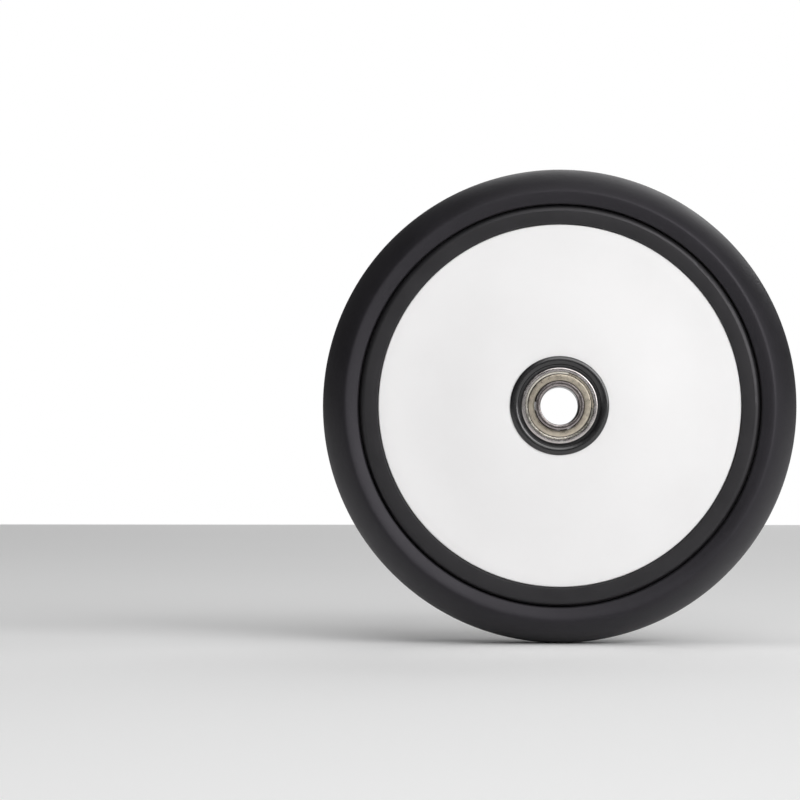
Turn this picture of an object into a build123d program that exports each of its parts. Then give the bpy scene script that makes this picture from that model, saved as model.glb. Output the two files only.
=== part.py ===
from build123d import *

import math
import os

# Solid-tyred caster wheel on two shielded ball bearings, in millimetres.
# The wheel turns about +Y. Its origin is on the axle line, midway between the tyre's two sides.
# The outboard side faces -Y, where the hub stands proud of the tyre. On the inboard side, +Y, it is sunk.

# Tyre
TYRE_DIAMETER = 100.0
TYRE_WIDTH = 22.0
TYRE_DEPTH = 8.1  # tread to the edge of the rim, along a radius
CREST_DROP = 5.2  # tread to the widest part of the tyre's side, along a radius
CREST_ROUND = 1.0  # how gently the tread's curve runs into that crest
CREST_EASE = 0.8  # how gently the slope down to the rim leaves it
BEAD_DROP = 0.8  # crest down to the tyre's edge beside the rim
BEAD_ROUND = 0.3
BEAD_GAP = 0.25  # open line between the tyre and the edge of the rim

# Rim, web and hub, one black moulding
RIM_LIP_WIDTH = 3.9
RIM_LIP_DROP = 0.6  # tyre's crest down to the face of the lip
RIM_LIP_THICKNESS = 3.2
RIM_LIP_ROUND = 1.2
RIM_LIP_CROWN = 0.12  # middle of the lip's face down to its two edges
RIM_CHANNEL_DEPTH = 4.4
RIM_WALL = 2.0
RIM_EDGE_BREAK = 0.25
KEY_WIDTH = 3.0
KEY_HEIGHT = 1.5
WEB_THICKNESS = 2.5
RIB_COUNT = 8
RIB_THICKNESS = 1.6
RIB_GAP = 0.3
RIB_ROOT = 0.4
BARREL_WALL = 2.2
BARREL_SHOULDER = 1.0  # ledge that each bearing's outer ring stops against

# Cover discs
COVER_THICKNESS = 1.5
COVER_SINK = 0.5  # rim lip down to the edge of the cover
OUTBOARD_RISE = 0.35  # tyre's side up to the middle of the outboard cover
INBOARD_SINK = 1.95  # tyre's side down to the middle of the inboard cover
COVER_CLEARANCE = 0.1
COVER_EDGE_ROUND = 0.2
COVER_FLAT_EDGE = 2.7  # flat band that rests on the rim's ledge
COVER_FLAT_HUB = 1.5  # flat band that the hub ring clamps
COVER_EASE = 9.0  # how gently the disc curves out of its two flat bands
PEG_COUNT = 4
PEG_DIAMETER = 3.0
PEG_ENGAGEMENT = 3.0
BOSS_WALL = 1.7

# Hub rings, which hold the bearings and clamp the covers
HUB_RING_WALL = 1.4
HUB_FLANGE_WIDTH = 0.95
HUB_FLANGE_HEIGHT = 0.45  # cover up to the crest of the domed flange
HUB_FLANGE_FOOT = 0.12  # straight edge below the dome
HUB_MOUTH_GAP = 0.6  # open ring between the bearing and the flange
HUB_MOUTH_DEPTH = 0.15  # cover down to the floor of that ring
BEARING_SINK = 0.2  # crest of the flange down to the bearing's face

# Ball bearings, 8 x 16 x 5 with the inner ring extended on the outboard side
AXLE_DIAMETER = 8.0
BEARING_DIAMETER = 16.0
BEARING_WIDTH = 5.0
INNER_RING_EXTENSION = 1.35
BALL_COUNT = 9
BALL_DIAMETER = 2.381
RACE_CLEARANCE = 0.05
INNER_LAND_DEPTH = 0.9  # pitch circle in to the inner ring's shoulder
OUTER_LAND_DEPTH = 0.85  # pitch circle out to the outer ring's shoulder
RING_CHAMFER = 0.25
SHIELD_THICKNESS = 0.2
SHIELD_SINK = 0.15  # ring's face down to the middle of the shield
SHIELD_STEP = 0.3  # how much deeper the shield's outer flange lies
SHIELD_GAP = 0.08  # open line between the shield and the inner ring
SHIELD_SEAT = 0.25  # ledge in the outer ring that the flange rests on
SHIELD_WALL_INSET = 0.25
SNAP_RING_THICKNESS = 0.25
SNAP_RING_GROOVE = 0.15
SNAP_RING_OPENING = 78.0  # degrees between the snap ring's ends
SNAP_RING_TURN = 4.0  # degrees that its first end lies below level
CAGE_CLEARANCE = 0.3
CAGE_BASE = 0.3
CAGE_PRONG_SHARE = 0.75  # how far the prongs reach past the ball's centre, in ball radii
POCKET_CLEARANCE = 0.07

# Spacer tube between the inner rings
SPACER_WALL = 1.0

# Radii and places along the axle that follow from the sizes above
tyre_radius = TYRE_DIAMETER / 2
half_width = TYRE_WIDTH / 2
crest_radius = tyre_radius - CREST_DROP
rim_radius = tyre_radius - TYRE_DEPTH
bead_radius = rim_radius + BEAD_GAP
bead_face = half_width - BEAD_DROP
lip_face = half_width - RIM_LIP_DROP
lip_edge = lip_face - RIM_LIP_CROWN
lip_back = lip_face - RIM_LIP_THICKNESS
channel_radius = rim_radius - RIM_CHANNEL_DEPTH
rim_inner_radius = channel_radius - RIM_WALL
cover_recess_radius = rim_radius - RIM_LIP_WIDTH
cover_radius = cover_recess_radius - COVER_CLEARANCE
cover_edge_face = lip_face - COVER_SINK
cover_ledge = cover_edge_face - COVER_THICKNESS
bearing_radius = BEARING_DIAMETER / 2
axle_radius = AXLE_DIAMETER / 2
bearing_rise = HUB_FLANGE_HEIGHT - BEARING_SINK
outboard_hub_face = half_width + OUTBOARD_RISE
inboard_hub_face = half_width - INBOARD_SINK
outboard_bearing_start = -(outboard_hub_face + bearing_rise)
inboard_bearing_start = inboard_hub_face + bearing_rise - BEARING_WIDTH
hub_ring_radius = bearing_radius + HUB_RING_WALL
hub_flange_radius = hub_ring_radius + HUB_FLANGE_WIDTH
barrel_radius = hub_ring_radius + BARREL_WALL
barrel_bore_radius = bearing_radius - BARREL_SHOULDER
outboard_rib_face = min(outboard_hub_face, cover_edge_face) - COVER_THICKNESS - RIB_GAP
inboard_rib_face = min(inboard_hub_face, cover_edge_face) - COVER_THICKNESS - RIB_GAP
web_middle_radius = (barrel_radius + rim_inner_radius) / 2
boss_radius = PEG_DIAMETER / 2 + BOSS_WALL
pitch_radius = (axle_radius + bearing_radius) / 2
ball_radius = BALL_DIAMETER / 2
inner_land_radius = pitch_radius - INNER_LAND_DEPTH
outer_land_radius = pitch_radius + OUTER_LAND_DEPTH
shield_seat_radius = outer_land_radius + SHIELD_SEAT
shield_wall_radius = outer_land_radius - SHIELD_WALL_INSET

os.makedirs("parts", exist_ok=True)


def save(piece, name):
    """Labels a finished piece and writes it as one STEP file."""
    piece.part.label = name
    export_step(piece.part, f"parts/{name}.step")


def band(inner, outer, low, high, mode=Mode.ADD):
    """Adds the section of a plain ring to a sketch: two radii, and two places along the axle."""
    with Locations(((inner + outer) / 2, (low + high) / 2)):
        Rectangle(outer - inner, abs(high - low), mode=mode)


def corners(sketch, radius, *places):
    """The corners of a sketch at one radius and at any of these places along the axle."""
    return sketch.vertices().filter_by(
        lambda v: abs(v.X - radius) < 1e-4 and any(abs(v.Y - place) < 1e-4 for place in places)
    )


# Tyre: a crowned tread, a rounded crest on each side, and a foot that fills the rim's channel.
with BuildPart() as tyre:
    with BuildSketch() as tyre_section:
        with BuildLine():
            Bezier(
                (tyre_radius, 0),
                (tyre_radius, half_width / 2),
                (crest_radius + CREST_ROUND, half_width),
                (crest_radius, half_width),
            )
            Bezier(
                (crest_radius, half_width),
                (crest_radius - CREST_EASE, half_width),
                (bead_radius, bead_face),
            )
            Polyline(
                (bead_radius, bead_face),
                (bead_radius, lip_back),
                (channel_radius, lip_back),
                (channel_radius, KEY_WIDTH / 2),
                (channel_radius + KEY_HEIGHT, KEY_WIDTH / 2),
                (channel_radius + KEY_HEIGHT, 0),
            )
            mirror(about=Plane.XZ)
        make_face()
        fillet(corners(tyre_section, bead_radius, bead_face, -bead_face), BEAD_ROUND)
    revolve(axis=Axis.Y)
save(tyre, "tyre")

# Wheel core: the rim's channel and lips, a web with ribs and bosses, and the hub barrel.
with BuildPart() as wheel_core:
    with BuildSketch() as core_section:
        band(rim_inner_radius, channel_radius, -lip_edge, lip_edge)
        band(channel_radius, channel_radius + KEY_HEIGHT, -KEY_WIDTH / 2, KEY_WIDTH / 2)
        band(channel_radius, rim_radius, lip_back, lip_edge)
        band(channel_radius, rim_radius, -lip_edge, -lip_back)
        band(rim_inner_radius, cover_recess_radius, cover_ledge, lip_edge, Mode.SUBTRACT)
        band(rim_inner_radius, cover_recess_radius, -lip_edge, -cover_ledge, Mode.SUBTRACT)
        for side in (-1, 1):
            with BuildLine():
                ThreePointArc(
                    (cover_recess_radius, side * lip_edge),
                    ((cover_recess_radius + rim_radius) / 2, side * lip_face),
                    (rim_radius, side * lip_edge),
                )
                Line((rim_radius, side * lip_edge), (cover_recess_radius, side * lip_edge))
            make_face()
        band(barrel_radius, rim_inner_radius, -WEB_THICKNESS / 2, WEB_THICKNESS / 2)
        band(
            barrel_bore_radius,
            barrel_radius,
            COVER_THICKNESS - outboard_hub_face,
            inboard_hub_face - COVER_THICKNESS,
        )
        band(
            barrel_bore_radius,
            hub_ring_radius,
            COVER_THICKNESS - outboard_hub_face,
            outboard_bearing_start + BEARING_WIDTH,
            Mode.SUBTRACT,
        )
        band(
            barrel_bore_radius,
            hub_ring_radius,
            inboard_bearing_start,
            inboard_hub_face - COVER_THICKNESS,
            Mode.SUBTRACT,
        )
        fillet(corners(core_section, rim_radius, lip_edge, -lip_edge), RIM_LIP_ROUND)
        chamfer(corners(core_section, cover_recess_radius, lip_edge, -lip_edge), RIM_EDGE_BREAK)
    revolve(axis=Axis.Y)
    with BuildSketch(Plane.XZ.offset(outboard_rib_face)):
        with PolarLocations(web_middle_radius, RIB_COUNT, 180 / RIB_COUNT):
            Rectangle(rim_inner_radius - barrel_radius + 2 * RIB_ROOT, RIB_THICKNESS)
        with PolarLocations(web_middle_radius, PEG_COUNT):
            Circle(boss_radius)
    extrude(amount=-(outboard_rib_face + inboard_rib_face))
    with BuildSketch(Plane.XZ.offset(outboard_rib_face)):
        with PolarLocations(web_middle_radius, PEG_COUNT):
            Circle(PEG_DIAMETER / 2)
    extrude(amount=-(outboard_rib_face + inboard_rib_face), mode=Mode.SUBTRACT)
save(wheel_core, "wheel_core")


def build_cover(name, side, hub_face, rib_face):
    """A white cover disc, gently curved between its hub and its edge, with pegs for the core's bosses."""
    hub_flat = hub_flange_radius + COVER_FLAT_HUB
    edge_flat = cover_radius - COVER_FLAT_EDGE
    with BuildPart() as cover:
        with BuildSketch() as cover_section:
            with BuildLine():
                for sink in (0, COVER_THICKNESS):
                    Line(
                        (hub_ring_radius + COVER_CLEARANCE, side * (hub_face - sink)),
                        (hub_flat, side * (hub_face - sink)),
                    )
                    Bezier(
                        (hub_flat, side * (hub_face - sink)),
                        (hub_flat + COVER_EASE, side * (hub_face - sink)),
                        (edge_flat - COVER_EASE, side * (cover_edge_face - sink)),
                        (edge_flat, side * (cover_edge_face - sink)),
                    )
                    Line(
                        (edge_flat, side * (cover_edge_face - sink)),
                        (cover_radius, side * (cover_edge_face - sink)),
                    )
                for radius, face in (
                    (hub_ring_radius + COVER_CLEARANCE, hub_face),
                    (cover_radius, cover_edge_face),
                ):
                    Line((radius, side * face), (radius, side * (face - COVER_THICKNESS)))
            make_face()
            fillet(corners(cover_section, cover_radius, side * cover_edge_face), COVER_EDGE_ROUND)
        revolve(axis=Axis.Y)
        peg_root = (hub_face + cover_edge_face - COVER_THICKNESS) / 2
        peg_length = peg_root - rib_face + PEG_ENGAGEMENT
        with BuildSketch(Plane.XZ.offset(-side * peg_root)):
            with PolarLocations(web_middle_radius, PEG_COUNT):
                Circle(PEG_DIAMETER / 2)
        extrude(amount=side * peg_length)
    save(cover, name)


build_cover("outboard_cover", -1, outboard_hub_face, outboard_rib_face)
build_cover("inboard_cover", 1, inboard_hub_face, inboard_rib_face)


def build_hub_ring(name, side, hub_face):
    """A black sleeve that seats a bearing, with a domed flange that clamps the middle of a cover."""
    mouth_radius = bearing_radius + HUB_MOUTH_GAP
    foot = side * (hub_face + HUB_FLANGE_FOOT)
    crest = side * (hub_face + HUB_FLANGE_HEIGHT)
    floor = side * (hub_face - HUB_MOUTH_DEPTH)
    with BuildPart() as hub_ring:
        with BuildSketch():
            with BuildLine():
                ThreePointArc(
                    (hub_flange_radius, foot),
                    ((hub_flange_radius + mouth_radius) / 2, crest),
                    (mouth_radius, foot),
                )
                Polyline(
                    (mouth_radius, foot),
                    (mouth_radius, floor),
                    (bearing_radius, floor),
                    (bearing_radius, side * (hub_face + bearing_rise - BEARING_WIDTH)),
                    (hub_ring_radius, side * (hub_face + bearing_rise - BEARING_WIDTH)),
                    (hub_ring_radius, side * hub_face),
                    (hub_flange_radius, side * hub_face),
                    (hub_flange_radius, foot),
                )
            make_face()
        revolve(axis=Axis.Y)
    save(hub_ring, name)


build_hub_ring("outboard_hub_ring", -1, outboard_hub_face)
build_hub_ring("inboard_hub_ring", 1, inboard_hub_face)


def ball_centres(middle):
    """The centres of a bearing's balls, evenly spaced round the pitch circle."""
    angles = [math.tau * i / BALL_COUNT for i in range(BALL_COUNT)]
    return [(pitch_radius * math.cos(a), middle, pitch_radius * math.sin(a)) for a in angles]


def build_rings(side_name, start):
    """The outer ring, with its race and shield seats, and the extended inner ring."""
    middle = start + BEARING_WIDTH / 2
    end = start + BEARING_WIDTH
    groove_end = SHIELD_SINK + SHIELD_STEP
    groove_start = groove_end - SNAP_RING_THICKNESS
    groove_radius = shield_seat_radius + SNAP_RING_GROOVE
    seat_depth = groove_end + SHIELD_THICKNESS
    with BuildPart() as outer_ring:
        with BuildSketch() as outer_section:
            band(outer_land_radius, bearing_radius, start, end)
            band(outer_land_radius, shield_seat_radius, start, start + seat_depth, Mode.SUBTRACT)
            band(outer_land_radius, shield_seat_radius, end - seat_depth, end, Mode.SUBTRACT)
            band(outer_land_radius, groove_radius, start + groove_start, start + groove_end, Mode.SUBTRACT)
            band(outer_land_radius, groove_radius, end - groove_end, end - groove_start, Mode.SUBTRACT)
            with Locations((pitch_radius, middle)):
                Circle(ball_radius + RACE_CLEARANCE, mode=Mode.SUBTRACT)
            chamfer(corners(outer_section, bearing_radius, start, end), RING_CHAMFER)
        revolve(axis=Axis.Y)
    save(outer_ring, f"{side_name}_outer_ring")

    extended_face = start - INNER_RING_EXTENSION
    with BuildPart() as inner_ring:
        with BuildSketch() as inner_section:
            band(axle_radius, inner_land_radius, extended_face, end)
            with Locations((pitch_radius, middle)):
                Circle(ball_radius + RACE_CLEARANCE, mode=Mode.SUBTRACT)
            chamfer(corners(inner_section, axle_radius, extended_face, end), RING_CHAMFER)
            chamfer(corners(inner_section, inner_land_radius, extended_face, end), RING_CHAMFER / 2)
        revolve(axis=Axis.Y)
    save(inner_ring, f"{side_name}_inner_ring")


def build_balls_and_cage(side_name, start):
    """The balls, each a piece of its own, and the one-piece crown cage that spaces them."""
    middle = start + BEARING_WIDTH / 2
    centres = ball_centres(middle)
    for number, centre in enumerate(centres, start=1):
        with BuildPart() as ball:
            with Locations(centre):
                Sphere(ball_radius)
        save(ball, f"{side_name}_ball_{number}")
    with BuildPart() as cage:
        with BuildSketch(Plane.XY.rotated((0, 180 / BALL_COUNT, 0))):
            band(
                inner_land_radius + CAGE_CLEARANCE,
                outer_land_radius - CAGE_CLEARANCE,
                middle - CAGE_PRONG_SHARE * ball_radius,
                middle + ball_radius + CAGE_BASE,
            )
        revolve(axis=Axis.Y)
        for centre in centres:
            with BuildSketch(Plane(origin=centre, z_dir=(centre[0], 0, centre[2]))):
                Circle(ball_radius + POCKET_CLEARANCE)
            extrude(amount=outer_land_radius - inner_land_radius, both=True, mode=Mode.SUBTRACT)
    save(cage, f"{side_name}_cage")


def build_shield(name, face, inward):
    """A pressed steel shield: a raised middle, a short wall, and a flange held in the outer ring."""
    raised = face + inward * SHIELD_SINK
    sunk = raised + inward * SHIELD_STEP
    sheet = inward * SHIELD_THICKNESS
    with BuildPart() as shield:
        with BuildSketch():
            band(inner_land_radius + SHIELD_GAP, shield_wall_radius, raised, raised + sheet)
            band(shield_wall_radius - SHIELD_THICKNESS, shield_wall_radius, raised, sunk + sheet)
            band(shield_wall_radius, shield_seat_radius, sunk, sunk + sheet)
        revolve(axis=Axis.Y)
    save(shield, name)


def build_snap_ring(name, face, inward):
    """The open wire ring that holds a shield down in its seat."""
    sunk = face + inward * (SHIELD_SINK + SHIELD_STEP)
    with BuildPart() as snap_ring:
        with BuildSketch(Plane.XY.rotated((0, SNAP_RING_TURN, 0))):
            band(
                shield_wall_radius + SHIELD_GAP,
                shield_seat_radius + SNAP_RING_GROOVE,
                sunk - inward * SNAP_RING_THICKNESS,
                sunk,
            )
        revolve(axis=Axis.Y, revolution_arc=360 - SNAP_RING_OPENING)
    save(snap_ring, name)


for bearing_name, bearing_start in (
    ("outboard", outboard_bearing_start),
    ("inboard", inboard_bearing_start),
):
    bearing_end = bearing_start + BEARING_WIDTH
    build_rings(bearing_name, bearing_start)
    build_balls_and_cage(bearing_name, bearing_start)
    build_shield(f"{bearing_name}_front_shield", bearing_start, 1)
    build_shield(f"{bearing_name}_back_shield", bearing_end, -1)
    build_snap_ring(f"{bearing_name}_front_snap_ring", bearing_start, 1)
    build_snap_ring(f"{bearing_name}_back_snap_ring", bearing_end, -1)

# Spacer tube: it passes the axle's clamping load from one inner ring to the other.
with BuildPart() as bearing_spacer:
    with BuildSketch():
        band(
            axle_radius,
            axle_radius + SPACER_WALL,
            outboard_bearing_start + BEARING_WIDTH,
            inboard_bearing_start - INNER_RING_EXTENSION,
        )
    revolve(axis=Axis.Y)
save(bearing_spacer, "bearing_spacer")
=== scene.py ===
"""A solid-tyred caster wheel on two shielded ball bearings, shaped and dressed in detail.

The axle lies along Y through the origin. The outboard side, with the proud hub, faces -Y.
"""

import logging
import math
from dataclasses import dataclass
from enum import Enum

import bpy
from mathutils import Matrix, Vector


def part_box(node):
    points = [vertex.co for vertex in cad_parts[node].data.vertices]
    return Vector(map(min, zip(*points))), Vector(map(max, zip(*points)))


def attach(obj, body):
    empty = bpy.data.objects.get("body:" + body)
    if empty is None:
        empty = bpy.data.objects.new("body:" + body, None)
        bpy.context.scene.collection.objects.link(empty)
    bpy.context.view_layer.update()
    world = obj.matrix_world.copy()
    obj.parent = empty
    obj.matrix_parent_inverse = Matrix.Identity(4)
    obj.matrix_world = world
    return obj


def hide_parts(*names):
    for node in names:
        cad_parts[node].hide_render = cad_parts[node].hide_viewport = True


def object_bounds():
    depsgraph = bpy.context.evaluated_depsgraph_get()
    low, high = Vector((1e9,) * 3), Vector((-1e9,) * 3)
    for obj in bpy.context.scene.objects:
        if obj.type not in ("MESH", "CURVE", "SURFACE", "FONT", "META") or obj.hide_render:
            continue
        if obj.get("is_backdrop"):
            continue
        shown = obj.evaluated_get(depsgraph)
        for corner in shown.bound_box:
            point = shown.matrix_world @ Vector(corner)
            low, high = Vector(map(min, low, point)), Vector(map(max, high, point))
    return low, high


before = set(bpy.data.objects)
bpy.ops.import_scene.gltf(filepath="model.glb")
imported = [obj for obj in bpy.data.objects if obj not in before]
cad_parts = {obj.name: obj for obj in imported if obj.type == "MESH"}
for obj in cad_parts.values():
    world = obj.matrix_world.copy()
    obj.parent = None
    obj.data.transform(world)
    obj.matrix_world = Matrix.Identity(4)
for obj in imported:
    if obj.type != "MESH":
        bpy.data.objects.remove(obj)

log = logging.getLogger("caster_wheel")

Socket = bpy.types.NodeSocket
Colour = tuple[float, float, float]
Point = tuple[float, float]

MM = 0.001
FULL_TURN = 360.0
SAME_POINT = 0.0005 * MM
SHARP_ANGLE = 32.0

# Colour of the painted shade that darkens the gaps between the bearing's pieces.
GAP_SHADE_BROWN: Colour = (0.030, 0.022, 0.018)
NOISE_LOW, NOISE_HIGH = 0.3, 0.7
FIRST_SHARE, SECOND_SHARE = 0.6, 0.4
MIX_COLOUR_A, MIX_COLOUR_B, MIX_COLOUR_RESULT = 6, 7, 2


class Side(Enum):
    """The two sides of the wheel, each with its direction along the axle."""

    OUTBOARD = -1
    INBOARD = 1

    @property
    def prefix(self) -> str:
        """The word that the names of this side's pieces start with."""
        return self.name.lower()


class Face(Enum):
    """The two faces of a bearing, each with the way in from it along the axle."""

    FRONT = 1
    BACK = -1

    @property
    def word(self) -> str:
        """The word that stands for this face in a piece's name."""
        return self.name.lower()


# --- Finishes ---------------------------------------------------------------------------------


class Recipe:
    """One material's nodes: a Principled surface fed by patterns in Object coordinates."""

    def __init__(self, name: str) -> None:
        """Starts a material with an empty pattern.

        Args:
            name: The material's name.
        """
        self.material = bpy.data.materials.new(name)
        self.material.use_nodes = True
        self.tree = self.material.node_tree
        self.surface = self.tree.nodes["Principled BSDF"]
        self.place: Socket = self.tree.nodes.new("ShaderNodeTexCoord").outputs["Object"]

    def fixed(self, **values: float | Colour) -> None:
        """Sets sockets of the surface that are the same all over, such as Metallic=1.0.

        Args:
            values: Socket names, with underscores for spaces, and what they hold.
        """
        for key, value in values.items():
            socket = self.surface.inputs[key.replace("_", " ")]
            socket.default_value = (*value, 1.0) if isinstance(value, tuple) else value

    def sum_of(self, kind: str, first: Socket | float, second: Socket | float) -> Socket:
        """Works out one number from two.

        Args:
            kind: The Math node's operation.
            first: The first number or the socket that gives it.
            second: The second one.

        Returns:
            The result's socket.
        """
        node = self.tree.nodes.new("ShaderNodeMath")
        node.operation = kind
        for socket, value in zip(node.inputs, (first, second)):
            if isinstance(value, bpy.types.NodeSocket):
                self.tree.links.new(value, socket)
            else:
                socket.default_value = value
        return node.outputs["Value"]

    def blend(self, first: Socket, second: Socket) -> Socket:
        """Mixes two patterns, with a little more of the first."""
        return self.sum_of(
            "ADD", self.sum_of("MULTIPLY", first, FIRST_SHARE), self.sum_of("MULTIPLY", second, SECOND_SHARE)
        )

    def radius_and_along(self) -> tuple[Socket, Socket]:
        """Distance from the axle, and place along it."""
        parts = self.tree.nodes.new("ShaderNodeSeparateXYZ")
        self.tree.links.new(self.place, parts.inputs["Vector"])
        square_x = self.sum_of("MULTIPLY", parts.outputs["X"], parts.outputs["X"])
        square_z = self.sum_of("MULTIPLY", parts.outputs["Z"], parts.outputs["Z"])
        radius = self.sum_of("SQRT", self.sum_of("ADD", square_x, square_z), 0.0)
        return radius, parts.outputs["Y"]

    def turned(self) -> Socket:
        """Coordinates of a lathe: distance from the axle, place along it, and nothing round it."""
        radius, along = self.radius_and_along()
        joined = self.tree.nodes.new("ShaderNodeCombineXYZ")
        self.tree.links.new(radius, joined.inputs["X"])
        self.tree.links.new(along, joined.inputs["Y"])
        return joined.outputs["Vector"]

    def painted_gap_shade(self, radii: tuple[float, ...], width: float) -> Socket:
        """Thin dark lines of painted shade round the axle, where two pieces meet, standing in for the shadow
        in the gaps between them.

        Args:
            radii: The lines' radii in millimetres.
            width: How far each fades out to either side, in millimetres.

        Returns:
            A socket that is 1 on a line and 0 away from it.
        """
        radius = self.radius_and_along()[0]
        thickest: Socket | float = 0.0
        for line in radii:
            # Each line is painted shade, darkest on its radius and fading to either side.
            away = self.sum_of("ABSOLUTE", self.sum_of("SUBTRACT", radius, line * MM), 0.0)
            painted_shade = self.mapped(away, (0.0, width * MM), (1.0, 0.0), "SMOOTHSTEP")
            thickest = self.sum_of("MAXIMUM", thickest, painted_shade)
        return thickest

    def noise(self, size: float, detail: float = 2.0, place: Socket | None = None) -> Socket:
        """Soft random patches.

        Args:
            size: The patches' size in millimetres.
            detail: How many finer layers they have.
            place: The coordinates to read, or None for Object coordinates.

        Returns:
            A socket that runs from about 0.3 to 0.7.
        """
        node = self.tree.nodes.new("ShaderNodeTexNoise")
        node.inputs["Scale"].default_value = 1.0 / (size * MM)
        node.inputs["Detail"].default_value = detail
        self.tree.links.new(place or self.place, node.inputs["Vector"])
        return node.outputs["Fac"]

    def pits(self, size: float) -> Socket:
        """Distance to the nearest of many scattered points, for pores and orange peel."""
        node = self.tree.nodes.new("ShaderNodeTexVoronoi")
        node.inputs["Scale"].default_value = 1.0 / (size * MM)
        self.tree.links.new(self.place, node.inputs["Vector"])
        return node.outputs["Distance"]

    def mapped(self, value: Socket, source: Point, target: Point, curve: str = "LINEAR") -> Socket:
        """Maps one range onto another.

        Args:
            value: What is mapped.
            source: The range's two ends.
            target: What they become.
            curve: The Map Range node's interpolation.

        Returns:
            The result's socket.
        """
        node = self.tree.nodes.new("ShaderNodeMapRange")
        node.interpolation_type = curve
        for key, limit in zip(("From Min", "From Max", "To Min", "To Max"), (*source, *target)):
            node.inputs[key].default_value = limit
        self.tree.links.new(value, node.inputs["Value"])
        return node.outputs["Result"]

    def spread(self, value: Socket, low: float, high: float) -> Socket:
        """Maps a noise's usual range onto low to high."""
        return self.mapped(value, (NOISE_LOW, NOISE_HIGH), (low, high))

    def colours(self, value: Socket, dark: Colour, light: Colour, painted_shade: Socket | None = None) -> None:
        """Paints the surface between two colours by a noise, and darkens it with painted shade along the
        gaps between pieces.

        Args:
            value: The noise.
            dark: The colour where it is low.
            light: The colour where it is high.
            painted_shade: How strongly the painted shade darkens the surface, from 0 to 1, or None for no
                painted shade.
        """
        ramp = self.tree.nodes.new("ShaderNodeValToRGB")
        for element, place, colour in zip(ramp.color_ramp.elements, (NOISE_LOW, NOISE_HIGH), (dark, light)):
            element.position = place
            element.color = (*colour, 1.0)
        self.tree.links.new(value, ramp.inputs["Fac"])
        shown = ramp.outputs["Color"]
        # Painted shade: the colour is darkened towards the gap colour where the mask is high.
        if painted_shade is not None:
            mix = self.tree.nodes.new("ShaderNodeMix")
            mix.data_type = "RGBA"
            self.tree.links.new(painted_shade, mix.inputs["Factor"])
            self.tree.links.new(shown, mix.inputs[MIX_COLOUR_A])
            mix.inputs[MIX_COLOUR_B].default_value = (*GAP_SHADE_BROWN, 1.0)
            shown = mix.outputs[MIX_COLOUR_RESULT]
        self.tree.links.new(shown, self.surface.inputs["Base Color"])

    def roughness(self, value: Socket) -> None:
        """Feeds the surface's roughness."""
        self.tree.links.new(value, self.surface.inputs["Roughness"])

    def relief(self, *layers: tuple[Socket, float]) -> None:
        """Raises the surface by several patterns, one on another.

        Args:
            layers: Pairs of a pattern and its full height in millimetres.
        """
        normal: Socket | None = None
        for pattern, height in layers:
            bump = self.tree.nodes.new("ShaderNodeBump")
            bump.inputs["Distance"].default_value = height * MM
            self.tree.links.new(pattern, bump.inputs["Height"])
            if normal is not None:
                self.tree.links.new(normal, bump.inputs["Normal"])
            normal = bump.outputs["Normal"]
        self.tree.links.new(normal, self.surface.inputs["Normal"])


@dataclass(frozen=True)
class MouldedFinish:
    """Rubber or plastic straight from a mould: a tone that drifts, and a grain.

    Sizes and heights are in millimetres.
    """

    name: str
    dark: Colour
    light: Colour
    tone_size: float
    smooth: float
    rough: float
    grain_size: float
    grain_height: float
    pore_size: float
    pore_height: float
    swell_size: float
    swell_height: float
    line_spacing: float = 0.5
    line_height: float = 0.0
    specular: float = 0.5
    tint: Colour = (1.0, 1.0, 1.0)
    coat: float = 0.0
    coat_roughness: float = 0.1
    sheen: float = 0.0

    def make(self) -> bpy.types.Material:
        """Builds the material.

        Returns:
            The material.
        """
        recipe = Recipe(self.name)
        recipe.fixed(
            Specular_IOR_Level=self.specular,
            Specular_Tint=self.tint,
            Coat_Weight=self.coat,
            Coat_Roughness=self.coat_roughness,
            Sheen_Weight=self.sheen,
        )
        grain = recipe.noise(self.grain_size, 3.0)
        swell = recipe.noise(self.swell_size, 1.0)
        tone = recipe.noise(self.tone_size, 4.0)
        speckled = recipe.blend(tone, grain)
        recipe.colours(speckled, self.dark, self.light)
        recipe.roughness(recipe.spread(speckled, self.smooth, self.rough))
        recipe.relief(
            (swell, self.swell_height),
            (recipe.noise(self.line_spacing, 2.0, recipe.turned()), self.line_height),
            (recipe.pits(self.pore_size), self.pore_height),
            (grain, self.grain_height),
        )
        return recipe.material


@dataclass(frozen=True)
class TurnedFinish:
    """Metal with the fine rings that turning or grinding leaves. Sizes are in millimetres."""

    name: str
    dark: Colour
    light: Colour
    smooth: float
    rough: float
    line_spacing: float
    line_height: float
    stain_size: float
    dent_size: float
    dent_height: float
    # Radii and width, in millimetres, of the thin lines of painted shade along the gaps between pieces.
    shade_line_radii: tuple[float, ...] = ()
    shade_line_width: float = 0.16

    def make(self) -> bpy.types.Material:
        """Builds the material.

        Returns:
            The material.
        """
        recipe = Recipe(self.name)
        recipe.fixed(Metallic=1.0)
        lines = recipe.noise(self.line_spacing, 2.0, recipe.turned())
        stain = recipe.noise(self.stain_size, 3.0)
        # Painted shade along the gaps between pieces, at the listed radii.
        painted_shade = recipe.painted_gap_shade(self.shade_line_radii, self.shade_line_width) if self.shade_line_radii else None
        recipe.colours(stain, self.dark, self.light, painted_shade)
        mixed = recipe.blend(lines, stain)
        recipe.roughness(recipe.spread(mixed, self.smooth, self.rough))
        recipe.relief((recipe.noise(self.dent_size, 1.0), self.dent_height), (lines, self.line_height))
        return recipe.material


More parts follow.
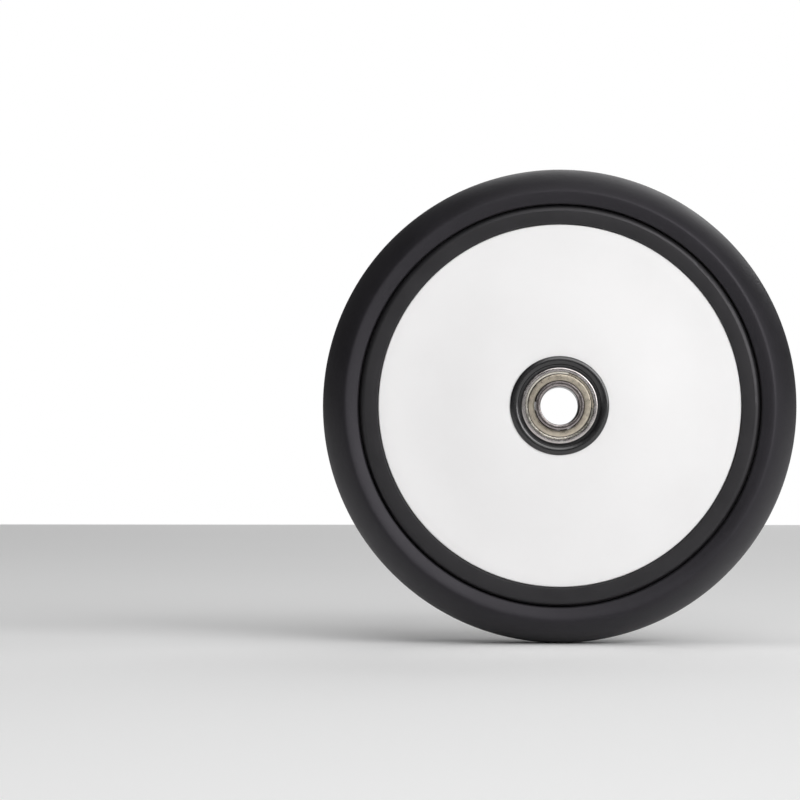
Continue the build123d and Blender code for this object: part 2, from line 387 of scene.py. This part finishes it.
FOAM_RUBBER = MouldedFinish(
    name="foam_rubber", dark=(0.0088, 0.0081, 0.0100), light=(0.0140, 0.0129, 0.0156), tone_size=9.0,
    smooth=0.46, rough=0.58, grain_size=0.22, grain_height=0.018, pore_size=0.55, pore_height=0.012,
    swell_size=7.0, swell_height=0.02, line_spacing=0.45, line_height=0.012, specular=0.40,
    tint=(0.96, 0.92, 1.0), sheen=0.02,
)
RIM_NYLON = MouldedFinish(
    name="rim_nylon", dark=(0.0096, 0.0093, 0.0100), light=(0.0133, 0.0129, 0.0138), tone_size=6.0,
    smooth=0.34, rough=0.46, grain_size=0.12, grain_height=0.006, pore_size=0.35, pore_height=0.004,
    swell_size=5.0, swell_height=0.015, line_spacing=0.4, line_height=0.005, specular=0.45,
    tint=(0.98, 0.95, 1.0),
)
COVER_WHITE = MouldedFinish(
    name="cover_white", dark=(0.820, 0.812, 0.812), light=(0.852, 0.845, 0.846), tone_size=14.0,
    smooth=0.36, rough=0.46, grain_size=0.10, grain_height=0.003, pore_size=0.5, pore_height=0.0015,
    swell_size=11.0, swell_height=0.03, specular=0.45,
)
HUB_GLOSS = MouldedFinish(
    name="hub_gloss", dark=(0.0085, 0.0082, 0.0090), light=(0.0130, 0.0125, 0.0135), tone_size=3.0,
    smooth=0.16, rough=0.28, grain_size=0.08, grain_height=0.0015, pore_size=0.4, pore_height=0.001,
    swell_size=1.6, swell_height=0.012, specular=0.6, coat=0.45, coat_roughness=0.18,
)
CAGE_NYLON = MouldedFinish(
    name="cage_nylon", dark=(0.50, 0.38, 0.20), light=(0.58, 0.46, 0.27), tone_size=1.5,
    smooth=0.34, rough=0.48, grain_size=0.06, grain_height=0.003, pore_size=0.2, pore_height=0.002,
    swell_size=1.2, swell_height=0.006, specular=0.5,
)
GROUND_STEEL = TurnedFinish(
    name="ground_steel", dark=(0.60, 0.56, 0.55), light=(0.76, 0.715, 0.70), smooth=0.16, rough=0.30,
    line_spacing=0.09, line_height=0.009, stain_size=1.6, dent_size=0.8, dent_height=0.001,
    # Lines of painted shade by the shield seat and at the ring's outer edge.
    shade_line_radii=(7.12, 8.0),
)
INNER_STEEL = TurnedFinish(
    name="inner_steel", dark=(0.34, 0.305, 0.30), light=(0.48, 0.435, 0.43), smooth=0.18, rough=0.32,
    line_spacing=0.09, line_height=0.008, stain_size=1.2, dent_size=0.8, dent_height=0.001,
    # Lines of painted shade at three radii on the inner ring's face, by the bore and the land.
    shade_line_radii=(4.05, 4.62, 5.1),
)
SHIELD_NICKEL = TurnedFinish(
    name="shield_nickel", dark=(0.57, 0.505, 0.41), light=(0.75, 0.67, 0.55), smooth=0.22, rough=0.36,
    line_spacing=0.11, line_height=0.007, stain_size=1.0, dent_size=0.9, dent_height=0.003,
    # Lines of painted shade at the shield's hole and at its wall.
    shade_line_radii=(5.18, 6.6), shade_line_width=0.20,
)
SPRING_STEEL = TurnedFinish(
    name="spring_steel", dark=(0.70, 0.66, 0.58), light=(0.82, 0.78, 0.70), smooth=0.16, rough=0.30,
    line_spacing=0.05, line_height=0.001, stain_size=1.0, dent_size=0.7, dent_height=0.003,
)
BALL_CHROME = TurnedFinish(
    name="ball_chrome", dark=(0.68, 0.68, 0.69), light=(0.74, 0.74, 0.75), smooth=0.06, rough=0.12,
    line_spacing=0.3, line_height=0.0003, stain_size=0.8, dent_size=0.5, dent_height=0.0004,
)
SPACER_ALUMINIUM = TurnedFinish(
    name="spacer_aluminium", dark=(0.70, 0.70, 0.71), light=(0.79, 0.79, 0.80), smooth=0.26, rough=0.42,
    line_spacing=0.12, line_height=0.004, stain_size=2.0, dent_size=1.0, dent_height=0.002,
)


# --- Modelling --------------------------------------------------------------------------------


@dataclass(frozen=True)
class Corner:
    """A corner of a turned outline: its radius and place along the axle, and how far it is rounded."""

    radius: float
    along: float
    rounding: float = 0.0


def curve_points(ends: tuple[Point, Point, Point, Point], count: int) -> list[Point]:
    """Points along a cubic curve, without its last one.

    Args:
        ends: The start, the two handles and the end.
        count: How many points to give.

    Returns:
        The points, from the start on.
    """
    points = []
    for index in range(count):
        t = index / count
        weights = ((1 - t) ** 3, 3 * t * (1 - t) ** 2, 3 * t * t * (1 - t), t**3)
        points.append(tuple(sum(w * p[axis] for w, p in zip(weights, ends)) for axis in (0, 1)))
    return points


def start_fresh() -> None:
    """Leaves edit mode and deselects everything, so that the next operator acts on its own piece."""
    if bpy.context.object and bpy.context.object.mode != "OBJECT":
        bpy.ops.object.mode_set(mode="OBJECT")
    bpy.ops.object.select_all(action="DESELECT")


@dataclass
class Turning:
    """A closed outline beside the axle, spun round it. Corners are in millimetres.

    A full turn closes on itself. A part turn is capped at both ends.
    """

    name: str
    corners: list[Corner]
    steps: int = 192
    arc: float = FULL_TURN
    turn: float = 0.0
    round_segments: int = 5
    sharp_angle: float = SHARP_ANGLE

    def build(self) -> bpy.types.Object:
        """Traces the outline, rounds its corners and spins it.

        Returns:
            The finished piece, with its place in its mesh.
        """
        start_fresh()
        first = self.corners[0]
        bpy.ops.mesh.primitive_plane_add(size=MM, location=(first.radius * MM, first.along * MM, 0.0))
        piece = bpy.context.object
        piece.name = self.name
        bpy.ops.object.transform_apply(location=True, rotation=True, scale=True)
        bpy.ops.object.mode_set(mode="EDIT")
        bpy.ops.mesh.select_mode(type="VERT")
        bpy.ops.mesh.select_all(action="SELECT")
        bpy.ops.mesh.merge(type="CENTER")
        self._trace()
        for corner in self.corners:
            if corner.rounding > 0.0:
                self._round(piece, corner)
        self._spin()
        bpy.ops.object.mode_set(mode="OBJECT")
        piece.rotation_euler.y = math.radians(self.turn)
        bpy.ops.object.transform_apply(location=True, rotation=True, scale=True)
        bpy.ops.object.shade_smooth_by_angle(angle=math.radians(self.sharp_angle))
        return piece

    def _trace(self) -> None:
        """Extrudes one vertex from corner to corner, back to the first."""
        for here, there in zip(self.corners, self.corners[1:] + self.corners[:1]):
            step = ((there.radius - here.radius) * MM, (there.along - here.along) * MM, 0.0)
            bpy.ops.mesh.extrude_region_move(TRANSFORM_OT_translate={"value": step})
        bpy.ops.mesh.select_all(action="SELECT")
        bpy.ops.mesh.remove_doubles(threshold=SAME_POINT)

    def _round(self, piece: bpy.types.Object, corner: Corner) -> None:
        """Rounds one corner of the outline.

        Args:
            piece: The piece, in edit mode.
            corner: The corner to round.
        """
        bpy.ops.mesh.select_all(action="DESELECT")
        bpy.ops.object.mode_set(mode="OBJECT")
        spot = Vector((corner.radius * MM, corner.along * MM, 0.0))
        nearest = min(piece.data.vertices, key=lambda vertex: (vertex.co - spot).length)
        nearest.select = True
        bpy.ops.object.mode_set(mode="EDIT")
        bpy.ops.mesh.bevel(
            affect="VERTICES", offset=corner.rounding * MM, segments=self.round_segments, profile=0.5
        )

    def _spin(self) -> None:
        """Spins the outline round the axle, closes it and turns its faces outwards."""
        bpy.ops.mesh.select_all(action="SELECT")
        bpy.ops.mesh.spin(
            steps=self.steps, angle=math.radians(self.arc), center=(0.0, 0.0, 0.0), axis=(0.0, 1.0, 0.0)
        )
        bpy.ops.mesh.select_all(action="SELECT")
        bpy.ops.mesh.remove_doubles(threshold=SAME_POINT)
        if self.arc < FULL_TURN:
            bpy.ops.mesh.fill_holes(sides=0)
        bpy.ops.mesh.select_all(action="SELECT")
        bpy.ops.mesh.normals_make_consistent(inside=False)


def millimetres(node: str) -> tuple[Vector, Vector]:
    """A CAD node's lowest and highest corners, in millimetres."""
    low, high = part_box(node)
    return low / MM, high / MM


def dress(piece: bpy.types.Object, material: bpy.types.Material) -> None:
    """Gives a piece one material all over."""
    piece.data.materials.clear()
    piece.data.materials.append(material)


def stand_for(piece: bpy.types.Object, node: str, body: str) -> None:
    """Makes a detailed piece stand for a CAD node and ride on its body.

    Args:
        piece: The detailed piece.
        node: The CAD node that it replaces.
        body: The CAD body that it moves with.
    """
    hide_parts(node)
    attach(piece, body)
    log.info("%s: %d faces, rides on %s", piece.name, len(piece.data.polygons), body)


# --- The wheel's pieces -----------------------------------------------------------------------


@dataclass
class Tyre:
    """The foam-rubber tyre, with the fine ridge that the mould's two halves leave. Millimetres."""

    crest_drop: float = 5.2
    crest_round: float = 1.0
    crest_ease: float = 0.8
    bead_drop: float = 0.8
    bead_gap: float = 0.25
    bead_round: float = 0.3
    ridge_width: float = 0.22
    ridge_height: float = 0.05
    ridge_spacing: float = 0.5
    key_width: float = 3.0
    key_height: float = 1.5
    foot_drop: float = 3.8
    foot_depth: float = 4.4
    tread_points: int = 18
    slope_points: int = 8
    handle_share: float = 2.0 / 3.0
    steps: int = 256
    sharp_angle: float = 40.0

    def ridges(self, radius: float) -> list[Corner]:
        """The two witness lines of the mould, side by side on the tread's middle.

        Args:
            radius: The tyre's radius.

        Returns:
            Their corners, from the inboard side to the outboard side.
        """
        half_spacing, half_width = self.ridge_spacing / 2, self.ridge_width / 2
        corners = []
        for middle in (half_spacing, -half_spacing):
            corners.append(Corner(radius, middle + half_width))
            corners.append(Corner(radius + self.ridge_height, middle))
            corners.append(Corner(radius, middle - half_width))
        return corners

    def flank(self, radius: float, half: float) -> list[Corner]:
        """The outside of one half, from beside the ridges, over the crest, to the rim.

        Args:
            radius: The tyre's radius.
            half: Half its width.

        Returns:
            The corners, for the inboard side.
        """
        crest = radius - self.crest_drop
        bead_radius = millimetres("wheel_core")[1].x + self.bead_gap
        bead_face = half - self.bead_drop
        tread = curve_points(
            ((radius, 0.0), (radius, half / 2), (crest + self.crest_round, half), (crest, half)),
            self.tread_points,
        )
        ease = crest - self.crest_ease
        share = self.handle_share
        slope = curve_points(
            (
                (crest, half),
                (crest + (ease - crest) * share, half),
                (bead_radius + (ease - bead_radius) * share, bead_face + (half - bead_face) * share),
                (bead_radius, bead_face),
            ),
            self.slope_points,
        )
        outside = [Corner(*point) for point in tread[1:] + slope]
        return outside + [Corner(bead_radius, bead_face, self.bead_round)]

    def build(self) -> bpy.types.Object:
        """Spins the tyre and puts it in place of its CAD node.

        Returns:
            The tyre.
        """
        high = millimetres("tyre")[1]
        radius, half = round(high.x, 2), high.y
        lip_back = half - self.foot_drop
        channel = millimetres("wheel_core")[1].x - self.foot_depth
        inboard = self.flank(radius, half)
        outboard = [Corner(c.radius, -c.along, c.rounding) for c in reversed(inboard)]
        bead = inboard[-1].radius
        foot = [
            Corner(bead, lip_back),
            Corner(channel, lip_back),
            Corner(channel, self.key_width / 2),
            Corner(channel + self.key_height, self.key_width / 2),
            Corner(channel + self.key_height, -self.key_width / 2),
            Corner(channel, -self.key_width / 2),
            Corner(channel, -lip_back),
            Corner(bead, -lip_back),
        ]
        corners = inboard + foot + outboard + list(reversed(self.ridges(radius)))
        piece = Turning("foam_tyre", corners, steps=self.steps, sharp_angle=self.sharp_angle).build()
        dress(piece, FOAM_RUBBER.make())
        stand_for(piece, "tyre", "wheel")
        return piece


@dataclass
class Cover:
    """A white cover disc, gently domed between the hub and the rim. Millimetres."""

    side: Side
    material: bpy.types.Material
    thickness: float = 1.5
    hub_flat: float = 2.45
    edge_flat: float = 2.7
    ease: float = 9.0
    edge_round: float = 0.25
    bore_round: float = 0.15
    bore_inset: float = 0.85
    rim_sink: float = 0.5
    hub_sink: float = 0.85
    dome_points: int = 14
    peg_count: int = 4
    peg_circle: float = 23.55
    peg_bevel: float = 0.35
    peg_radius: float = 1.5
    peg_sides: int = 32
    peg_bevel_segments: int = 3
    tip_reach: float = 0.01
    steps: int = 256

    def surface(self, bore: float, edge: float, hub_face: float, edge_face: float) -> list[Point]:
        """The domed stretch of the disc's outer face, from hub to edge, as radius and height."""
        start, end = bore + self.hub_flat, edge - self.edge_flat
        handles = ((start + self.ease, hub_face), (end - self.ease, edge_face))
        ends = ((start, hub_face), *handles, (end, edge_face))
        return [*curve_points(ends, self.dome_points), (end, edge_face)]

    def build(self) -> bpy.types.Object:
        """Spins the disc, adds its pegs and puts it in place of its CAD node.

        Returns:
            The cover.
        """
        node = f"{self.side.prefix}_cover"
        low, high = millimetres(node)
        sign = self.side.value
        bore = millimetres(f"{self.side.prefix}_hub_ring")[1].x - self.bore_inset
        hub_face = abs(low.y) if self.side is Side.OUTBOARD else high.y - self.hub_sink
        edge_face = millimetres("wheel_core")[1].y - self.rim_sink
        face = self.surface(bore, high.x, hub_face, edge_face)
        outer = [Corner(bore, sign * hub_face, self.bore_round)]
        outer += [Corner(radius, sign * height) for radius, height in face]
        outer += [Corner(high.x, sign * edge_face, self.edge_round)]
        inner = [Corner(c.radius, c.along - sign * self.thickness) for c in reversed(outer)]
        piece = Turning(f"{node}_disc", outer + inner, steps=self.steps).build()
        self._add_pegs(piece, node, (hub_face + edge_face) / 2)
        dress(piece, self.material)
        stand_for(piece, node, "wheel")
        return piece

    def _add_pegs(self, disc: bpy.types.Object, node: str, root: float) -> None:
        """Adds the pegs that press into the core's bosses.

        Args:
            disc: The disc to join them to.
            node: The CAD node whose pegs they follow.
            root: The height of the disc's outer face over them.
        """
        low, high = millimetres(node)
        sign = self.side.value
        tip = high.y if self.side is Side.OUTBOARD else low.y
        base = sign * (root - self.thickness / 2)
        pegs = []
        for index in range(self.peg_count):
            angle = math.tau * index / self.peg_count
            start_fresh()
            bpy.ops.mesh.primitive_cylinder_add(
                vertices=self.peg_sides,
                radius=self.peg_radius * MM,
                depth=abs(tip - base) * MM,
                location=(
                    self.peg_circle * math.cos(angle) * MM,
                    (tip + base) / 2 * MM,
                    self.peg_circle * math.sin(angle) * MM,
                ),
                rotation=(math.pi / 2, 0.0, 0.0),
            )
            peg = bpy.context.object
            bpy.ops.object.transform_apply(location=True, rotation=True, scale=True)
            bpy.ops.object.mode_set(mode="EDIT")
            bpy.ops.mesh.select_mode(type="EDGE")
            bpy.ops.mesh.select_all(action="DESELECT")
            bpy.ops.object.mode_set(mode="OBJECT")
            for edge in peg.data.edges:
                ends = [peg.data.vertices[v].co.y / MM for v in edge.vertices]
                edge.select = all(abs(end - tip) < self.tip_reach for end in ends)
            bpy.ops.object.mode_set(mode="EDIT")
            bpy.ops.mesh.bevel(offset=self.peg_bevel * MM, segments=self.peg_bevel_segments)
            bpy.ops.object.mode_set(mode="OBJECT")
            pegs.append(peg)
        start_fresh()
        for peg in pegs:
            peg.select_set(True)
        disc.select_set(True)
        bpy.context.view_layer.objects.active = disc
        bpy.ops.object.join()
        bpy.ops.object.shade_smooth_by_angle(angle=math.radians(SHARP_ANGLE))


@dataclass
class HubRing:
    """The glossy black ring with a domed flange that holds a bearing. Millimetres."""

    side: Side
    material: bpy.types.Material
    sleeve_inset: float = 0.95
    bearing_inset: float = 2.35
    mouth_inset: float = 1.75
    height: float = 0.45
    foot: float = 0.12
    mouth_depth: float = 0.15
    mouth_round: float = 0.08
    sleeve_round: float = 0.2
    dome_points: int = 14

    def dome(self, outer: float, inner: float, face: float) -> list[Corner]:
        """The flange's domed top, from its outer edge to its mouth.

        Args:
            outer: The flange's radius.
            inner: The mouth's radius.
            face: The height of the cover that it stands on.

        Returns:
            The corners along a half ellipse.
        """
        middle, reach = (outer + inner) / 2, (outer - inner) / 2
        rise = self.height - self.foot
        angles = [math.pi * index / self.dome_points for index in range(self.dome_points + 1)]
        return [
            Corner(middle + reach * math.cos(a), self.side.value * (face + self.foot + rise * math.sin(a)))
            for a in angles
        ]

    def build(self) -> bpy.types.Object:
        """Spins the ring and puts it in place of its CAD node.

        Returns:
            The hub ring.
        """
        node = f"{self.side.prefix}_hub_ring"
        low, high = millimetres(node)
        sign = self.side.value
        outer = round(high.x, 2)
        crest, end = (abs(low.y), high.y) if self.side is Side.OUTBOARD else (high.y, low.y)
        face = crest - self.height
        sleeve, seat, mouth = outer - self.sleeve_inset, outer - self.bearing_inset, outer - self.mouth_inset
        corners = self.dome(outer, mouth, face)
        corners += [
            Corner(mouth, sign * (face - self.mouth_depth), self.mouth_round),
            Corner(seat, sign * (face - self.mouth_depth)),
            Corner(seat, end),
            Corner(sleeve, end, self.sleeve_round),
            Corner(sleeve, sign * face),
            Corner(outer, sign * face),
        ]
        piece = Turning(f"{node}_domed", corners).build()
        dress(piece, self.material)
        stand_for(piece, node, "wheel")
        return piece


@dataclass
class BearingSet:
    """One shielded ball bearing: its rings, shields, snap rings, cage and balls. Millimetres."""

    side: Side
    finishes: dict[str, bpy.types.Material]
    ring_round: float = 0.25
    edge_round: float = 0.06
    bend_round: float = 0.18
    land_radius: float = 6.85
    seat_radius: float = 7.1
    groove_radius: float = 7.25
    race_radius: float = 1.2405
    pitch_radius: float = 6.0
    inner_land: float = 5.1
    axle_radius: float = 4.0
    shield_sink: float = 0.15
    shield_step: float = 0.3
    sheet: float = 0.2
    shield_wall: float = 6.6
    shield_gap: float = 0.08
    wire: float = 0.25
    wire_opening: float = 78.0
    wire_turn: float = 4.0
    race_points: int = 12
    shield_segments: int = 4
    wire_segments: int = 3
    wire_steps: int = 128
    steps: int = 160

    @property
    def outer_box(self) -> tuple[float, float]:
        """The outer ring's two ends along the axle."""
        low, high = millimetres(f"{self.side.prefix}_outer_ring")
        return low.y, high.y

    def race(self, middle: float, land: float, outward: bool) -> list[Corner]:
        """The ball groove's section, from the low side to the high side.

        Args:
            middle: Its middle along the axle.
            land: The shoulder's radius that it is cut into.
            outward: Whether it is in the outer ring.

        Returns:
            The corners along its arc.
        """
        half = math.acos((land - self.pitch_radius) / self.race_radius * (1 if outward else -1))
        corners = []
        for index in range(self.race_points + 1):
            angle = -half + 2 * half * index / self.race_points
            reach = self.race_radius * math.cos(angle) * (1 if outward else -1)
            corners.append(Corner(self.pitch_radius + reach, middle + self.race_radius * math.sin(angle)))
        return corners

    def build_outer_ring(self) -> None:
        """Spins the outer ring, with its ball groove, shield seats and snap-ring grooves."""
        start, end = self.outer_box
        radius = millimetres(f"{self.side.prefix}_outer_ring")[1].x
        sunk = self.shield_sink + self.shield_step
        half_profile = [
            Corner(round(radius, 2), start, self.ring_round),
            Corner(self.seat_radius, start, self.edge_round),
            Corner(self.seat_radius, start + sunk - self.wire),
            Corner(self.groove_radius, start + sunk - self.wire),
            Corner(self.groove_radius, start + sunk),
            Corner(self.seat_radius, start + sunk),
            Corner(self.seat_radius, start + sunk + self.sheet),
            Corner(self.land_radius, start + sunk + self.sheet),
        ]
        middle = (start + end) / 2
        mirrored = [Corner(c.radius, 2 * middle - c.along, c.rounding) for c in reversed(half_profile)]
        corners = half_profile + self.race(middle, self.land_radius, True) + mirrored
        name = f"{self.side.prefix}_outer_ring"
        piece = Turning(f"{name}_ground", corners, steps=self.steps).build()
        dress(piece, self.finishes["outer"])
        stand_for(piece, name, "wheel")

    def build_inner_ring(self) -> None:
        """Spins the inner ring, which stands out of the bearing on its outboard side."""
        name = f"{self.side.prefix}_inner_ring"
        low, high = millimetres(name)
        start, end = self.outer_box
        middle = (start + end) / 2
        corners = [
            Corner(self.axle_radius, low.y, self.ring_round),
            Corner(self.axle_radius, high.y, self.ring_round),
            Corner(self.inner_land, high.y, self.ring_round / 2),
            *reversed(self.race(middle, self.inner_land, False)),
            Corner(self.inner_land, low.y, self.ring_round / 2),
        ]
        piece = Turning(f"{name}_ground", corners, steps=self.steps).build()
        dress(piece, self.finishes["inner"])
        stand_for(piece, name, "axle_stack")

    def build_shield(self, face: Face) -> None:
        """Spins a pressed shield: a raised middle, a short wall and a sunk flange.

        Args:
            face: The bearing's face that it closes.
        """
        start = self.outer_box[0] if face is Face.FRONT else self.outer_box[1]
        inward = face.value
        raised = start + inward * self.shield_sink
        sunk = raised + inward * self.shield_step
        sheet = inward * self.sheet
        hole = self.inner_land + self.shield_gap
        corners = [
            Corner(hole, raised, self.edge_round),
            Corner(self.shield_wall, raised, self.bend_round),
            Corner(self.shield_wall, sunk, self.edge_round),
            Corner(self.seat_radius, sunk),
            Corner(self.seat_radius, sunk + sheet),
            Corner(self.shield_wall - self.sheet, sunk + sheet, self.bend_round),
            Corner(self.shield_wall - self.sheet, raised + sheet, self.edge_round),
            Corner(hole, raised + sheet, self.edge_round),
        ]
        name = f"{self.side.prefix}_{face.word}_shield"
        piece = Turning(
            f"{name}_pressed", corners, steps=self.steps, round_segments=self.shield_segments
        ).build()
        dress(piece, self.finishes["shield"])
        stand_for(piece, name, "wheel")

    def build_snap_ring(self, face: Face) -> None:
        """Spins the open wire ring that holds a shield, with its two cut ends.

        Args:
            face: The bearing's face that it is sprung into.
        """
        start = self.outer_box[0] if face is Face.FRONT else self.outer_box[1]
        inward = face.value
        sunk = start + inward * (self.shield_sink + self.shield_step)
        top = sunk - inward * self.wire
        corners = [
            Corner(self.shield_wall + self.shield_gap, top, self.edge_round),
            Corner(self.groove_radius, top),
            Corner(self.groove_radius, sunk),
            Corner(self.shield_wall + self.shield_gap, sunk, self.edge_round),
        ]
        name = f"{self.side.prefix}_{face.word}_snap_ring"
        arc = FULL_TURN - self.wire_opening
        turn = self.wire_turn - self.wire_opening
        piece = Turning(
            f"{name}_wire", corners, self.wire_steps, arc, turn, round_segments=self.wire_segments
        ).build()
        dress(piece, self.finishes["wire"])
        stand_for(piece, name, "wheel")

    def dress_inside(self) -> None:
        """Gives the cage and the balls their finishes."""
        dress(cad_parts[f"{self.side.prefix}_cage"], self.finishes["cage"])
        for name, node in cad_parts.items():
            if name.startswith(f"{self.side.prefix}_ball_"):
                dress(node, self.finishes["ball"])

    def build(self) -> None:
        """Builds and dresses the whole bearing."""
        self.build_outer_ring()
        self.build_inner_ring()
        for face in Face:
            self.build_shield(face)
            self.build_snap_ring(face)
        self.dress_inside()


@dataclass
class Spacer:
    """The aluminium tube between the two inner rings. Millimetres."""

    axle_radius: float = 4.0
    mouth_round: float = 0.15
    steps: int = 128

    def build(self) -> bpy.types.Object:
        """Spins the tube and puts it in place of its CAD node.

        Returns:
            The spacer.
        """
        low, high = millimetres("bearing_spacer")
        radius = round(high.x, 2)
        corners = [
            Corner(self.axle_radius, low.y, self.mouth_round),
            Corner(self.axle_radius, high.y, self.mouth_round),
            Corner(radius, high.y, self.mouth_round),
            Corner(radius, low.y, self.mouth_round),
        ]
        piece = Turning("bearing_spacer_tube", corners, steps=self.steps).build()
        dress(piece, SPACER_ALUMINIUM.make())
        stand_for(piece, "bearing_spacer", "axle_stack")
        return piece


# --- The studio -------------------------------------------------------------------------------


@dataclass(frozen=True)
class Lamp:
    """A soft box: where it is, where it points, its size in metres, and its power in watts."""

    name: str
    place: tuple[float, float, float]
    aim: tuple[float, float, float]
    size: tuple[float, float]
    power: float

    def build(self) -> None:
        """Adds the lamp, turned towards its aim."""
        start_fresh()
        bpy.ops.object.light_add(type="AREA", location=self.place)
        lamp = bpy.context.object
        lamp.name = self.name
        lamp.data.shape = "RECTANGLE"
        lamp.data.size, lamp.data.size_y = self.size
        lamp.data.energy = self.power
        direction = Vector(self.aim) - Vector(self.place)
        lamp.rotation_euler = direction.to_track_quat("-Z", "Y").to_euler()


@dataclass
class Studio:
    """The pale floor, the soft light and the camera. Metres."""

    floor_size: float = 2.2
    floor_dark: float = 0.955
    floor_light: float = 0.97
    floor_tone_size: float = 400.0
    floor_grain_size: float = 60.0
    sky: float = 0.04
    lens: float = 170.0
    distance: float = 0.80
    camera_left: float = 0.0056
    camera_below: float = 0.0070
    view_left: float = 0.0337
    view_above: float = 0.0013
    lamps: tuple[Lamp, ...] = (
        Lamp("front_softbox", (0.3, -1.5, 0.82), (0.0, 0.0, 0.0), (1.1, 0.8), 8.2),
        Lamp("key_softbox", (1.2, -1.2, 0.6), (0.0, 0.0, 0.0), (1.2, 1.2), 18.5),
        Lamp("top_softbox", (0.1, -0.15, 1.3), (0.0, 0.0, 0.0), (1.4, 1.2), 4.4),
        Lamp("high_front_softbox", (0.1, -0.9, 1.2), (0.0, 0.0, 0.0), (1.4, 1.0), 3.0),
        Lamp("right_softbox", (1.4, -0.1, 0.4), (0.0, 0.0, 0.0), (1.0, 1.2), 1.4),
        Lamp("back_softbox", (0.4, 1.8, 1.1), (0.1, 0.8, -0.05), (1.6, 1.2), 12.0),
    )

    def build(self) -> None:
        """Builds the floor, the sky, the lamps and the camera."""
        self._floor()
        self._sky()
        for lamp in self.lamps:
            lamp.build()
        self._camera()
        bpy.context.scene.view_settings.view_transform = "Standard"

    def _floor(self) -> None:
        """Adds a pale floor that the wheel stands on."""
        start_fresh()
        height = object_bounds()[0].z
        bpy.ops.mesh.primitive_plane_add(size=self.floor_size, location=(0.0, 0.0, height))
        floor = bpy.context.object
        floor.name = "studio_floor"
        recipe = Recipe("studio_floor")
        tone = recipe.noise(self.floor_tone_size)
        recipe.colours(tone, (self.floor_dark,) * 3, (self.floor_light,) * 3)
        recipe.roughness(recipe.spread(recipe.noise(self.floor_grain_size), 0.85, 0.95))
        recipe.fixed(Specular_IOR_Level=0.2)
        dress(floor, recipe.material)
        floor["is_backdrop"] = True

    def _sky(self) -> None:
        """Lights the scene evenly, and shows plain white behind it."""
        world = bpy.data.worlds.new("studio_sky")
        world.use_nodes = True
        bpy.context.scene.world = world
        nodes, links = world.node_tree.nodes, world.node_tree.links
        seen = nodes["Background"]
        seen.inputs["Color"].default_value = (1.0, 1.0, 1.0, 1.0)
        light = nodes.new("ShaderNodeBackground")
        light.inputs["Strength"].default_value = self.sky
        path = nodes.new("ShaderNodeLightPath")
        mix = nodes.new("ShaderNodeMixShader")
        links.new(path.outputs["Is Camera Ray"], mix.inputs["Fac"])
        links.new(light.outputs["Background"], mix.inputs[1])
        links.new(seen.outputs["Background"], mix.inputs[2])
        links.new(mix.outputs["Shader"], nodes["World Output"].inputs["Surface"])

    def _camera(self) -> None:
        """Adds the camera, almost on the axle line, with the wheel right of the middle."""
        eye = Vector((-self.camera_left, -self.distance, -self.camera_below))
        target = Vector((-self.view_left, 0.0, self.view_above))
        start_fresh()
        bpy.ops.object.camera_add(location=eye)
        camera = bpy.context.object
        camera.name = "studio_camera"
        camera.data.lens = self.lens
        camera.data.clip_start = 0.01
        camera.rotation_euler = (target - eye).to_track_quat("-Z", "Y").to_euler()
        bpy.context.scene.camera = camera


def main() -> None:
    """Builds every piece, then the studio."""
    logging.basicConfig(level=logging.INFO, format="%(name)s %(message)s")
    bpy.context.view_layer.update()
    Tyre().build()
    dress(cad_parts["wheel_core"], RIM_NYLON.make())
    white, gloss = COVER_WHITE.make(), HUB_GLOSS.make()
    finishes = {
        "outer": GROUND_STEEL.make(),
        "inner": INNER_STEEL.make(),
        "shield": SHIELD_NICKEL.make(),
        "wire": SPRING_STEEL.make(),
        "cage": CAGE_NYLON.make(),
        "ball": BALL_CHROME.make(),
    }
    for side in Side:
        Cover(side, white).build()
        HubRing(side, gloss).build()
        BearingSet(side, finishes).build()
    Spacer().build()
    Studio().build()


if __name__ == "__main__":
    main()
